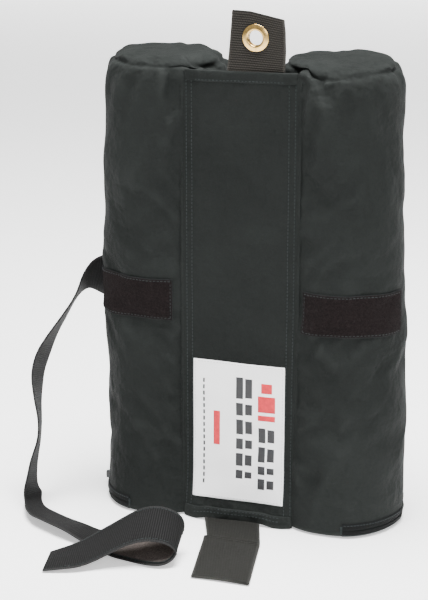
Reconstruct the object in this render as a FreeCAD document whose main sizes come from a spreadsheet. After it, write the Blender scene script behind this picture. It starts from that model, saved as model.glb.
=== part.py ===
import FreeCAD, Part
import math
import os
import Sketcher
from FreeCAD import Rotation, Vector

# Twin-tube weight sandbag. Millimetres, +Z up, X to the bag's right, the front faces -Y.
# The origin is on the floor, midway between the two tube axes.

os.makedirs("parts", exist_ok=True)
doc = FreeCAD.newDocument("sandbag")

# ---------------------------------------------------------------- sizes
SIZES = dict(
    # tubes
    bag_height=416.0, tube_spacing=166.0, tube_dia=112.0, cloth=1.2, cap_high=8.0,
    cap_round=7.0, foot_height=8.0, foot_round=2.0, sand_slack=12.0,
    # zip round the outer side of each foot; turns are from the front, outward
    zip_from=18.0, zip_arc=160.0, tape_wide=5.0, tape_thick=0.8, coil_wide=2.0, coil_thick=2.2,
    stop_arc=2.0, left_slider_turn=95.0, right_slider_turn=130.0, slider_arc=11.0,
    slider_wide=8.0, slider_thick=4.4, run_gap=0.4, pull_long=20.0, pull_wide=4.0, pull_thick=1.4, pin_dia=2.0, pin_gap=0.3,
    # centre panel; its seams lie on the tubes at a turn inward from the front
    seam_turn=32.0, seam_gap=0.5, panel_low=4.0, panel_drop=4.0, ply=0.9, hem_wide=9.0,
    hem_thick=0.7, label_wide=86.0, label_high=131.0, label_low=19.0, label_thick=0.4,
    # webbing tabs and grommet
    tab_wide=50.8, tab_thick=3.0, top_tab_high=50.0, top_tab_shift=15.9, fold_gap=0.4,
    grommet_up=30.6, grommet_hole=12.7, grommet_dia=24.0, barrel_thick=0.8, flange_thick=1.0,
    bottom_tab_long=126.0, bottom_tab_turn=12.5, bottom_tab_thick=2.6, tab_gap=2.3, tab_clear=1.8,
    # fastener strips and strap
    strip_wide=38.0, strip_thick=1.5, strip_mid=204.0, strip_inner=24.0, strip_outer=76.0,
    anchor_from=82.0, anchor_arc=22.0, anchor_mid=210.0, strap_wide=38.0, strap_thick=1.6,
    hook_wide=35.0, hook_thick=1.3,
)
sheet = doc.addObject("Spreadsheet::Sheet", "Sizes")
for row, (alias, value) in enumerate(SIZES.items(), start=1):
    sheet.set(f"A{row}", alias)
    sheet.set(f"B{row}", str(value))
    sheet.setAlias(f"B{row}", alias)
doc.recompute()


class Dim:
    """A size with both its number and the sheet expression that gives it."""

    def __init__(self, text, value):
        self.text, self.value = text, value

    @staticmethod
    def of(other):
        return other if isinstance(other, Dim) else Dim(repr(float(other)), float(other))

    def join(self, mark, other, value):
        return Dim(f"({self.text} {mark} {other.text})", value)

    def __add__(self, other):
        other = Dim.of(other)
        return self.join("+", other, self.value + other.value)

    def __sub__(self, other):
        other = Dim.of(other)
        return self.join("-", other, self.value - other.value)

    def __mul__(self, other):
        other = Dim.of(other)
        return self.join("*", other, self.value * other.value)

    def __truediv__(self, other):
        other = Dim.of(other)
        return self.join("/", other, self.value / other.value)

    def __radd__(self, other):
        return Dim.of(other) + self

    def __rsub__(self, other):
        return Dim.of(other) - self

    def __rmul__(self, other):
        return Dim.of(other) * self

    def __neg__(self):
        return Dim.of(0) - self


def sine(turn):
    return Dim(f"sin({turn.text} * 1deg)", math.sin(math.radians(turn.value)))


def cosine(turn):
    return Dim(f"cos({turn.text} * 1deg)", math.cos(math.radians(turn.value)))


class Named:
    pass


s = Named()
for alias, value in SIZES.items():
    setattr(s, alias, Dim(f"Sizes.{alias}", value))
NODES = []


# ---------------------------------------------------------------- building blocks
def bind(obj, prop, size):
    obj.setExpression(prop, Dim.of(size).text)


def place(obj, x=0, y=0, z=0, turn=0):
    """Bind a placement: a turn about Z in degrees, then a move."""
    obj.Placement.Rotation = Rotation(Vector(0, 0, 1), Dim.of(turn).value or 1)
    for axis, size in (("x", x), ("y", y), ("z", z)):
        bind(obj, f"Placement.Base.{axis}", size)
    bind(obj, "Placement.Rotation.Angle", turn)
    return obj


def keep(obj, label):
    obj.Label = label
    NODES.append(obj)
    return obj


def box(name, wide, deep, high, **where):
    """A box from its left, front, lower corner."""
    obj = doc.addObject("Part::Box", name)
    bind(obj, "Length", wide)
    bind(obj, "Width", deep)
    bind(obj, "Height", high)
    return place(obj, **where)


def rod(name, radius, long, x=0, y=0, z=0, across=False):
    """A cylinder along Z, or along +Y when it lies across."""
    obj = doc.addObject("Part::Cylinder", name)
    bind(obj, "Radius", radius)
    bind(obj, "Height", long)
    if across:
        obj.Placement.Rotation = Rotation(Vector(1, 0, 0), -90)
    for axis, size in (("x", x), ("y", y), ("z", z)):
        bind(obj, f"Placement.Base.{axis}", size)
    return obj


def fuse(name, *shapes):
    obj = doc.addObject("Part::MultiFuse", name)
    obj.Shapes = list(shapes)
    return obj


def cut(name, base, tool):
    obj = doc.addObject("Part::Cut", name)
    obj.Base, obj.Tool = base, tool
    return obj


def tie(sketch, line, end, point):
    """Hold one end of a line at a point bound to the sheet."""
    for kind, size in (("DistanceX", point[0]), ("DistanceY", point[1])):
        at = sketch.addConstraint(Sketcher.Constraint(kind, -1, 1, line, end, size.value))
        sketch.setExpression(f"Constraints[{at}]", size.text)


def turned(name, outline, arc=360, **where):
    """A body turned about Z from (radius, height[, fillet]) corners, starting at +X."""
    body = doc.addObject("PartDesign::Body", name)
    sketch = body.newObject("Sketcher::SketchObject", name + "_outline")
    plane = [o for o in body.Origin.OriginFeatures if o.Role == "XZ_Plane"][0]
    sketch.AttachmentSupport = [(plane, "")]
    sketch.MapMode = "FlatFace"
    corners = [tuple(Dim.of(v) for v in corner) for corner in outline]
    count = len(corners)

    def step(i, j, size):
        """From corner i toward corner j by a size; outlines run level or upright."""
        (x, y), (u, v) = corners[i][:2], corners[j][:2]
        if abs(u.value - x.value) > abs(v.value - y.value):
            return (x + size if u.value > x.value else x - size), y
        return x, (y + size if v.value > y.value else y - size)

    ends = []
    for i, corner in enumerate(corners):
        if len(corner) == 3:
            ends.append((step(i, i - 1, corner[2]), step(i, (i + 1) % count, corner[2])))
        else:
            ends.append((corner[:2], corner[:2]))
    vector = lambda point: Vector(point[0].value, point[1].value, 0)
    lines = [
        sketch.addGeometry(Part.LineSegment(vector(ends[i][1]), vector(ends[(i + 1) % count][0])))
        for i in range(count)
    ]
    for i, corner in enumerate(corners):
        before, after = lines[i - 1], lines[i]
        tie(sketch, after, 1, ends[i][1])
        if len(corner) == 2:
            sketch.addConstraint(Sketcher.Constraint("Coincident", before, 2, after, 1))
            continue
        tie(sketch, before, 2, ends[i][0])
        start, end, tip = vector(ends[i][0]), vector(ends[i][1]), vector(corner)
        centre = start + end - tip
        middle = centre + (tip - centre).normalize() * corner[2].value
        curve = sketch.addGeometry(Part.Arc(start, middle, end))
        flipped = (sketch.getPoint(curve, 1) - start).Length > 1e-6
        first, last = (2, 1) if flipped else (1, 2)
        sketch.addConstraint(Sketcher.Constraint("Coincident", curve, first, before, 2))
        sketch.addConstraint(Sketcher.Constraint("Coincident", curve, last, after, 1))
        at = sketch.addConstraint(Sketcher.Constraint("Radius", curve, corner[2].value))
        sketch.setExpression(f"Constraints[{at}]", corner[2].text)
    turn = body.newObject("PartDesign::Revolution", name + "_turn")
    turn.Profile = sketch
    turn.ReferenceAxis = (sketch, ["V_Axis"])
    bind(turn, "Angle", arc)
    return place(body, **where)


def ring(inner, outer, low, high):
    """The outline of a ring."""
    return [(inner, low), (outer, low), (outer, high), (inner, high)]


# ---------------------------------------------------------------- one tube and its zip
radius = s.tube_dia / 2
inside = radius - s.cloth
wall_top = s.bag_height - s.cap_high
sand_top = s.bag_height - s.sand_slack


def build_tube(side, sign, slider_turn):
    """Everything that moves with one tube; sign is -1 for the left, +1 for the right."""
    at = dict(x=sign * s.tube_spacing / 2)

    def sweep(start, arc):
        """Where an arc starts so that it runs outward from the front by start."""
        return -90 + start if sign > 0 else -90 - start - arc

    keep(turned(f"{side}_wall", ring(inside, radius, s.foot_height, wall_top), **at),
         f"{side}_tube_wall")
    keep(turned(f"{side}_cap", [
        (inside, wall_top), (radius, wall_top), (radius, s.bag_height, s.cap_round),
        (0, s.bag_height), (0, s.bag_height - s.cloth),
        (inside, s.bag_height - s.cloth, s.cap_round - s.cloth),
    ], **at), f"{side}_top_cap")
    keep(turned(f"{side}_base", [
        (0, 0), (radius, 0, s.foot_round), (radius, s.foot_height), (inside, s.foot_height),
        (inside, s.cloth), (0, s.cloth),
    ], **at), f"{side}_bottom_cap")
    keep(turned(f"{side}_sand", [
        (0, s.cloth), (inside, s.cloth), (inside, sand_top), (0, sand_top),
    ], **at), f"{side}_sand_fill")

    skin = radius + s.tape_thick
    keep(turned(f"{side}_lower_tape", ring(
        radius, skin, s.foot_height - s.coil_wide / 2 - s.tape_wide,
        s.foot_height - s.coil_wide / 2),
        arc=s.zip_arc, turn=sweep(s.zip_from, s.zip_arc), **at), f"{side}_zip_lower_tape")
    keep(turned(f"{side}_upper_tape", ring(
        radius, skin, s.foot_height + s.coil_wide / 2,
        s.foot_height + s.coil_wide / 2 + s.tape_wide),
        arc=s.zip_arc, turn=sweep(s.zip_from, s.zip_arc), **at), f"{side}_zip_upper_tape")
    coil_out = radius + s.coil_thick
    keep(turned(f"{side}_coil", ring(
        radius, coil_out, s.foot_height - s.coil_wide / 2, s.foot_height + s.coil_wide / 2),
        arc=s.zip_arc, turn=sweep(s.zip_from, s.zip_arc), **at), f"{side}_zip_coil")
    for end, start in (("front", s.zip_from + 0.5), ("back", s.zip_from + s.zip_arc - 2.5)):
        keep(turned(f"{side}_{end}_stop", ring(
            coil_out, coil_out + 0.9, s.foot_height - s.coil_wide / 2 - 0.6,
            s.foot_height + s.coil_wide / 2 + 0.6),
            arc=s.stop_arc, turn=sweep(start, s.stop_arc), **at), f"{side}_zip_{end}_stop")

    strip_start = -s.strip_inner
    keep(turned(f"{side}_strip", ring(
        radius, radius + s.strip_thick, s.strip_mid - s.strip_wide / 2,
        s.strip_mid + s.strip_wide / 2),
        arc=s.strip_inner + s.strip_outer,
        turn=sweep(strip_start, s.strip_inner + s.strip_outer), **at), f"{side}_loop_strip")

    # the slider straddles the coil; its two ears hold the pin that the pull hangs from
    shoe_in, shoe_out = skin + s.run_gap, skin + s.run_gap + s.slider_thick
    half, slot = s.slider_wide / 2, s.coil_wide / 2 + s.run_gap
    roof = coil_out + s.run_gap
    shoe = turned(f"{side}_shoe", [
        (shoe_in, s.foot_height - half), (shoe_out, s.foot_height - half),
        (shoe_out, s.foot_height + half), (shoe_in, s.foot_height + half),
        (shoe_in, s.foot_height + slot), (roof, s.foot_height + slot),
        (roof, s.foot_height - slot), (shoe_in, s.foot_height - slot),
    ], arc=s.slider_arc, turn=sweep(slider_turn - s.slider_arc / 2, s.slider_arc), **at)
    facing = sweep(slider_turn, 0)
    eye = s.pin_dia / 2 + s.pin_gap
    knuckle_out = eye + 1.0
    reach = shoe_out + knuckle_out + s.pin_gap
    ears = []
    ear_z = s.pull_wide / 2 + s.run_gap
    for name, z in (("low", s.foot_height - ear_z - 1), ("high", s.foot_height + ear_z)):
        ears.append(turned(f"{side}_{name}_ear", ring(
            shoe_out - 0.5, reach + s.pin_dia / 2 + 0.5, z, z + 1),
            arc=3, turn=sweep(slider_turn - 1.5, 3), **at))
    bar = rod(f"{side}_bar", s.pin_dia / 2, 2 * ear_z + 1.0)
    pin_x, pin_y = at["x"] + reach * cosine(facing), reach * sine(facing)
    for axis, size in (("x", pin_x), ("y", pin_y), ("z", s.foot_height - ear_z - 0.5)):
        bind(bar, f"Placement.Base.{axis}", size)
    keep(fuse(f"{side}_slider", shoe, *ears, bar), f"{side}_zip_slider")

    # the pull lies along the zip, trailing toward the back
    blade = box(f"{side}_blade", s.pull_long, s.pull_thick, s.pull_wide,
                z=s.foot_height - s.pull_wide / 2)
    knuckle = rod(f"{side}_knuckle", knuckle_out, s.pull_wide, z=s.foot_height - s.pull_wide / 2)
    if sign < 0:
        bind(blade, "Placement.Base.y", -s.pull_thick)
    hole = rod(f"{side}_eye", eye, s.pull_wide + 2, z=s.foot_height - s.pull_wide / 2 - 1)
    pull = cut(f"{side}_pull", fuse(f"{side}_pull_blank", blade, knuckle), hole)
    place(pull, pin_x, pin_y, 0, facing + sign * 90)
    keep(pull, f"{side}_zip_pull")


build_tube("left", -1, s.left_slider_turn)
build_tube("right", 1, s.right_slider_turn)

# ---------------------------------------------------------------- centre panel
seam_reach = radius + s.seam_gap
panel_wide = s.tube_spacing - 2 * seam_reach * sine(s.seam_turn)
panel_back = seam_reach * cosine(s.seam_turn)
left_edge = -panel_wide / 2
panel_top = s.bag_height - s.panel_drop
panel_high = panel_top - s.panel_low
seam_face = panel_back + s.ply
front_face = panel_back + 2 * s.ply
keep(box("back_ply", panel_wide, s.ply, panel_high,
         x=left_edge, y=-seam_face, z=s.panel_low), "panel_back_cloth")
keep(box("front_ply", panel_wide, s.ply, panel_high,
         x=left_edge, y=-front_face, z=s.panel_low), "panel_front_cloth")
keep(box("top_hem", panel_wide, s.hem_thick, s.hem_wide, x=left_edge,
         y=-front_face - s.hem_thick, z=panel_top - s.hem_wide), "panel_top_hem")
keep(box("bottom_hem", panel_wide, s.hem_thick, s.hem_wide, x=left_edge,
         y=-front_face - s.hem_thick, z=s.panel_low), "panel_bottom_hem")
keep(box("label", s.label_wide, s.label_thick, s.label_high, x=-s.label_wide / 2,
         y=-front_face - s.label_thick, z=s.label_low), "label_patch")

# ---------------------------------------------------------------- top tab with its grommet
tab_front = seam_face + s.tab_thick / 2
tab_low = panel_top + s.tab_gap
tab_left = s.top_tab_shift - s.tab_wide / 2
folded = cut(
    "folded_tab",
    box("tab_blank", s.tab_wide, s.tab_thick, s.top_tab_high, x=tab_left, y=-tab_front, z=tab_low),
    box("tab_fold", s.tab_wide + 2, s.fold_gap, s.top_tab_high, x=tab_left - 1,
        y=-seam_face - s.fold_gap / 2, z=tab_low - s.tab_thick / 2),
)
eye_z = panel_top + s.grommet_up
bore, neck = s.grommet_hole / 2, s.grommet_hole / 2 + s.barrel_thick
keep(cut("holed_tab", folded, rod("tab_hole", neck, s.tab_thick + 2, x=s.top_tab_shift,
                                  y=-tab_front - 1, z=eye_z, across=True)), "top_tab_webbing")
eye_front = -tab_front - s.flange_thick
flange = rod("flange", s.grommet_dia / 2, s.flange_thick, s.top_tab_shift, eye_front, eye_z, True)
barrel = rod("barrel", neck, s.tab_thick + 2 * s.flange_thick + 0.4,
             s.top_tab_shift, eye_front, eye_z, True)
through = rod("through", bore, s.tab_thick + 2 * s.flange_thick + 4,
              s.top_tab_shift, eye_front - 1, eye_z, True)
keep(cut("eyelet", fuse("eyelet_blank", flange, barrel), through), "grommet_eyelet")
back_disc = rod("back_disc", s.grommet_dia / 2, s.flange_thick,
                s.top_tab_shift, -tab_front + s.tab_thick, eye_z, True)
back_hole = rod("back_hole", neck, s.flange_thick + 2,
                s.top_tab_shift, -tab_front + s.tab_thick - 1, eye_z, True)
keep(cut("washer", back_disc, back_hole), "grommet_washer")

# ---------------------------------------------------------------- bottom tab on the floor
base_y = front_face + s.hem_thick + s.tab_clear  # the tab's straight base edge, before the hem
tuck = s.tab_wide / 2  # the slanted blank starts this much behind the base edge
lower = cut(
    "lower_tab",
    box("lower_blank", s.tab_wide, s.bottom_tab_long + tuck, s.bottom_tab_thick,
        x=-s.tab_wide / 2, y=-s.bottom_tab_long),
    box("lower_fold", s.tab_wide + 2, s.bottom_tab_long + tuck, s.fold_gap,
        x=-s.tab_wide / 2 - 1, y=-s.bottom_tab_long + s.bottom_tab_thick / 2,
        z=s.bottom_tab_thick / 2 - s.fold_gap / 2),
)
place(lower, y=-base_y, turn=s.bottom_tab_turn)
trim = box("lower_trim", 4 * s.tab_wide, s.tab_wide, s.bottom_tab_thick + 2,
           x=-2 * s.tab_wide, y=-base_y, z=-1)
keep(cut("lower_trimmed", lower, trim), "bottom_tab_webbing")

# ---------------------------------------------------------------- closure strap
left_x = -s.tube_spacing / 2
root_x = left_x - radius
keep(turned("anchor", ring(radius, radius + s.strap_thick, s.anchor_mid - s.strap_wide / 2,
                           s.anchor_mid + s.strap_wide / 2),
            arc=s.anchor_arc, x=left_x, turn=-90 - s.anchor_from - s.anchor_arc), "strap_anchor")

# Each row: the strap's middle, measured from the left tube's outermost line, and the direction
# across it. The first rows leave the tube, the next hang and twist down to the floor, and the
# last lie in a curl in front of the foot.
ROUTE = [
    ((-2, -8, 210), (0, 0, -1)), ((-11, -5, 210), (-0.1, 0.3, -0.95)),
    ((-22, 0, 205), (-0.24, 0.62, -0.74)), ((-30, -5, 193), (-0.3, 0.85, -0.45)),
    ((-41, -20, 169), (-0.24, 0.93, -0.26)), ((-49, -30, 152), (-0.15, 0.96, -0.22)),
    ((-55, -39, 134), (-0.1, 0.93, -0.3)), ((-57, -45, 117), (-0.12, 0.96, -0.25)),
    ((-54, -51, 97), (-0.24, 0.93, -0.28)), ((-51, -55, 78), (-0.32, 0.9, -0.3)),
    ((-51, -58, 59), (-0.34, 0.9, -0.25)), ((-55, -60, 41), (-0.24, 0.93, -0.2)),
    ((-58, -63, 26), (-0.1, 0.95, -0.05)), ((-56, -69, 15), (0.1, 0.95, 0.1)),
    ((-50, -80, 9), (0.3, 0.9, -0.1)), ((-39, -92, 7.5), (0.4, 0.85, -0.2)),
    ((-25, -102, 7.5), (0.4, 0.86, -0.25)), ((-8, -112, 7.5), (0.37, 0.88, -0.25)),
    ((10, -121, 6), (0.35, 0.9, -0.2)), ((30, -131, 3), (0.3, 0.95, -0.06)),
    ((56, -143, 1.4), (0.2, 0.98, 0)), ((78, -151, 1.4), (0, 1, 0)),
    ((97, -155, 2.2), (-0.05, 1, 0.02)), ((109, -154, 6), (-0.04, 0.99, 0.13)),
    ((116, -151, 12), (-0.08, 0.96, 0.28)), ((118, -148, 20), (-0.14, 0.9, 0.4)),
    ((115, -148, 28), (-0.14, 0.86, 0.47)), ((108, -151, 33), (-0.14, 0.87, 0.48)),
    ((98, -156, 35), (-0.14, 0.86, 0.49)), ((84, -161, 33), (-0.12, 0.87, 0.48)),
    ((68, -168, 27), (-0.12, 0.88, 0.44)), ((52, -177, 18), (-0.15, 0.92, 0.34)),
    ((38, -184, 10), (-0.2, 0.95, 0.2)), ((24, -189, 4.5), (-0.24, 0.97, 0.06)),
    ((10, -193, 3.2), (-0.25, 0.97, 0)),
]
HOOK_FIRST = 20  # the hook strip covers the inside of the curl, from this row on
middles = [Vector(*row[0]) for row in ROUTE]
frames = []
for i, (_, across) in enumerate(ROUTE):
    along = (middles[min(i + 1, len(ROUTE) - 1)] - middles[max(i - 1, 0)]).normalize()
    across = Vector(*across)
    across = (across - along * across.dot(along)).normalize()
    frames.append((across, along.cross(across)))


def band(name, rows, wide, low, high):
    """A flat band that follows the route, between two depths on its inner side."""
    rings = []
    for i in rows:
        across, up = frames[i]
        rings.append([middles[i] + across * (side * wide / 2) + up * depth
                      for side, depth in ((-1, low), (1, low), (1, high), (-1, high))])
    faces = [Part.Face(Part.makePolygon(end + end[:1])) for end in (rings[0], rings[-1])]
    for one, two in zip(rings, rings[1:]):
        for i, j in ((0, 1), (1, 2), (2, 3), (3, 0)):
            faces.append(Part.makeRuledSurface(
                Part.makeLine(one[i], one[j]), Part.makeLine(two[i], two[j]), 1))
    shell = Part.makeShell(faces)
    shell.sewShape()
    solid = Part.makeSolid(shell)
    if solid.Volume < 0:
        solid.reverse()
    obj = doc.addObject("Part::Feature", name)
    obj.Shape = solid
    place(obj, x=root_x)
    return obj


half_strap = SIZES["strap_thick"] / 2
keep(band("strap", range(len(ROUTE)), SIZES["strap_wide"], -half_strap, half_strap),
     "closure_strap")
keep(band("hook", range(HOOK_FIRST, len(ROUTE)), SIZES["hook_wide"], half_strap,
          half_strap + SIZES["hook_thick"]), "strap_hook_tape")

# ---------------------------------------------------------------- check and write
doc.recompute()
for obj in doc.Objects:
    if "Invalid" in obj.State or "Error" in obj.State:
        raise RuntimeError(f"{obj.Label} didn't build: {obj.State}")
for obj in NODES:
    shape = obj.Shape
    if shape.isNull() or not shape.isValid() or len(shape.Solids) != 1:
        raise RuntimeError(f"{obj.Label} isn't one valid solid")
    shape.exportStep(f"parts/{obj.Label}.step")
    low, high = shape.BoundBox, shape.Volume
    print(f"{obj.Label}: {low.XMin:.1f}..{low.XMax:.1f}, {low.YMin:.1f}..{low.YMax:.1f}, "
          f"{low.ZMin:.1f}..{low.ZMax:.1f}, {high:.0f} mm3")
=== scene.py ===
"""Looks of the twin-tube sandbag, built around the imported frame: two sand tubes, the panel
between them and its trims."""

import math

import bmesh
import bpy
import numpy as np
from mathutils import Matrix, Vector, noise
from mathutils.bvhtree import BVHTree


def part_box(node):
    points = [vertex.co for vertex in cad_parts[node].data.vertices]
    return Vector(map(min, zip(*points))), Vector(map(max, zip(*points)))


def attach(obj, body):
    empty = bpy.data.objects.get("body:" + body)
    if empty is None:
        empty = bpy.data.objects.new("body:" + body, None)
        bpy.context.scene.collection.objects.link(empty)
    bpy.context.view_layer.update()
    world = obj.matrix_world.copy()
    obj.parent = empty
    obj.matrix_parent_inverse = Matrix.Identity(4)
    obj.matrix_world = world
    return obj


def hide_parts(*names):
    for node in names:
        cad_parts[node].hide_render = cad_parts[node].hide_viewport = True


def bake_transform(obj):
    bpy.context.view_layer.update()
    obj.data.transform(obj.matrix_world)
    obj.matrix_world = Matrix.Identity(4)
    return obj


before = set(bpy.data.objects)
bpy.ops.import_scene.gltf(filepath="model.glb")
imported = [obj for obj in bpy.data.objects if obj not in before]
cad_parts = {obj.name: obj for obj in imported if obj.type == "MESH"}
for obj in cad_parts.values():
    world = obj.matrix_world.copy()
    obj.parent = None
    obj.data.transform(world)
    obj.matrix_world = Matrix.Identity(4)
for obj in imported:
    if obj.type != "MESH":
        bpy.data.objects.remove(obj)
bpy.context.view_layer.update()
MM = 0.001


def corner(node, side):
    """Lowest (0) or highest (1) corner of a CAD node, in millimetres."""
    return np.array(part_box(node)[side]) / MM


# ---------------------------------------------------------------- sizes that come from the frame
WALL_LOW, WALL_HIGH = corner("right_tube_wall", 0), corner("right_tube_wall", 1)
TUBE_X = (WALL_LOW[0] + WALL_HIGH[0]) / 2
RADIUS = (WALL_HIGH[0] - WALL_LOW[0]) / 2
PANEL_HALF = corner("panel_front_cloth", 1)[0]
PANEL_TOP = corner("panel_back_cloth", 1)[2]
RIGHT_SEAM = -math.degrees(math.asin((TUBE_X - PANEL_HALF) / RADIUS))
SEWN_OFF = 4.3  # degrees by which the left seam was sewn nearer the middle
SEAM_TURN = {"left": RIGHT_SEAM - SEWN_OFF, "right": RIGHT_SEAM}
WALL_TOP = 396  # where the wall starts to turn in to the cap's seam
FLOOR_GAP = 0.4


# ---------------------------------------------------------------- mesh helpers
def mesh_piece(name, points, faces, smooth=True):
    """A mesh object from points in millimetres, with its faces turned outward."""
    data = bpy.data.meshes.new(name)
    data.from_pydata([tuple(p) for p in np.asarray(points, float) * MM], [], faces)
    tidy = bmesh.new()
    tidy.from_mesh(data)
    bmesh.ops.recalc_face_normals(tidy, faces=tidy.faces)
    tidy.to_mesh(data)
    tidy.free()
    data.polygons.foreach_set("use_smooth", [smooth] * len(data.polygons))
    obj = bpy.data.objects.new(name, data)
    bpy.context.scene.collection.objects.link(obj)
    return obj


def set_uv(obj, uv):
    """Cloth coordinates in millimetres, one pair a vertex."""
    layer = obj.data.uv_layers.new(name="cloth")
    loops = np.zeros(len(obj.data.loops), int)
    obj.data.loops.foreach_get("vertex_index", loops)
    layer.data.foreach_set("uv", np.asarray(uv, np.float32)[loops].ravel())


def points_of(obj):
    co = np.zeros(len(obj.data.vertices) * 3, np.float32)
    obj.data.vertices.foreach_get("co", co)
    return co.reshape(-1, 3).astype(float) / MM


def move_points(obj, points):
    obj.data.vertices.foreach_set("co", (np.asarray(points) * MM).astype(np.float32).ravel())
    obj.data.update()


def unit(v):
    return v / (np.linalg.norm(v, axis=-1, keepdims=True) + 1e-12)


def distances(path):
    """Distance along a path at each of its points."""
    return np.r_[0, np.cumsum(np.linalg.norm(np.diff(path, axis=0), axis=1))]


def ring_faces(count, ring, closed=False):
    """Faces between rings of points; ended with two caps unless the last ring joins the first."""
    faces = []
    for i in range(count if closed else count - 1):
        a, b = i * ring, (i + 1) % count * ring
        for j in range(ring):
            k = (j + 1) % ring
            faces.append((a + j, a + k, b + k, b + j))
    if not closed:
        faces += [tuple(range(ring - 1, -1, -1)), tuple((count - 1) * ring + j for j in range(ring))]
    return faces


def applied(obj):
    """Replaces an object's mesh by the result of its modifiers."""
    bpy.context.view_layer.update()
    data = bpy.data.meshes.new_from_object(obj.evaluated_get(bpy.context.evaluated_depsgraph_get()))
    obj.modifiers.clear()
    old, obj.data = obj.data, data
    name = old.name
    bpy.data.meshes.remove(old)
    data.name = name


def normals_of(grid):
    return unit(np.cross(np.gradient(grid, axis=0), np.gradient(grid, axis=1)))


def slab(name, grid, thick, uv, round_edge=0.4):
    """A closed sheet of that thickness about a grid of middle points, with a rounded rim."""
    grid, uv = np.asarray(grid, float), np.asarray(uv, float)
    rows, cols, _ = grid.shape
    along, across = np.gradient(grid, axis=0), np.gradient(grid, axis=1)
    normal = normals_of(grid)
    ring = ([(i, 0) for i in range(rows)] + [(rows - 1, j) for j in range(1, cols)]
            + [(i, cols - 1) for i in range(rows - 2, -1, -1)] + [(0, j) for j in range(cols - 2, 0, -1)])
    rim = []
    for i, j in ring:
        out = np.zeros(3)
        if i in (0, rows - 1):
            out += unit(along[i, j]) * (1 if i else -1)
        if j in (0, cols - 1):
            out += unit(across[i, j]) * (1 if j else -1)
        rim.append(grid[i, j] + unit(out) * thick * round_edge)
    count = rows * cols
    half = normal * thick / 2
    points = np.vstack([(grid + half).reshape(-1, 3), (grid - half).reshape(-1, 3), rim])
    faces = []
    for i in range(rows - 1):
        for j in range(cols - 1):
            a, b, c, d = i * cols + j, (i + 1) * cols + j, (i + 1) * cols + j + 1, i * cols + j + 1
            faces += [(a, b, c, d), (count + d, count + c, count + b, count + a)]
    for k in range(len(ring)):
        (i, j), (p, q), nxt = ring[k], ring[(k + 1) % len(ring)], (k + 1) % len(ring)
        a, b = i * cols + j, p * cols + q
        faces += [(b, a, 2 * count + k, 2 * count + nxt),
                  (2 * count + nxt, 2 * count + k, count + a, count + b)]
    obj = mesh_piece(name, points, faces)
    flat = uv.reshape(-1, 2)
    set_uv(obj, np.vstack([flat, flat, [uv[i, j] for i, j in ring]]))
    return obj


def subdivide(obj):
    """One smoothing subdivision, applied."""
    obj.modifiers.new("smooth", "SUBSURF").levels = 1
    applied(obj)


def resample(rows, count, smooth=0.0):
    """Rows of numbers along a line, spread evenly over its length and smoothed."""
    rows = np.asarray(rows, float)
    at = distances(rows[:, :3])
    fine = np.linspace(0, at[-1], count)
    padded = np.vstack([2 * rows[0] - rows[1], rows, 2 * rows[-1] - rows[-2]])
    out = np.zeros((count, rows.shape[1]))
    for k, s in enumerate(fine):
        i = min(int(np.searchsorted(at, s, side="right")) - 1, len(rows) - 2)
        t = (s - at[i]) / max(at[i + 1] - at[i], 1e-9)
        p0, p1, p2, p3 = padded[i:i + 4]
        out[k] = 0.5 * (2 * p1 + (p2 - p0) * t + (2 * p0 - 5 * p1 + 4 * p2 - p3) * t * t
                        + (3 * p1 - p0 - 3 * p2 + p3) * t ** 3)
    if smooth:
        width = max(1, int(smooth / (at[-1] / count) * 3))
        kernel = np.exp(-0.5 * (np.arange(-width, width + 1) / (width / 3)) ** 2)
        kernel /= kernel.sum()
        ends = np.vstack([2 * out[0] - out[width:0:-1], out, 2 * out[-1] - out[-2:-width - 2:-1]])
        out = np.stack([np.convolve(ends[:, c], kernel, "valid") for c in range(out.shape[1])], axis=1)
    return out


def wobble(points, scale, seed):
    """Smooth noise about zero at each point, for slight unevenness of cloth."""
    shift = Vector((seed * 7.3, seed * 3.1, seed * 5.7))
    points = np.asarray(points)
    values = [noise.noise(Vector(p) / scale + shift) for p in points.reshape(-1, 3)]
    return np.array(values).reshape(points.shape[:-1])


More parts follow.
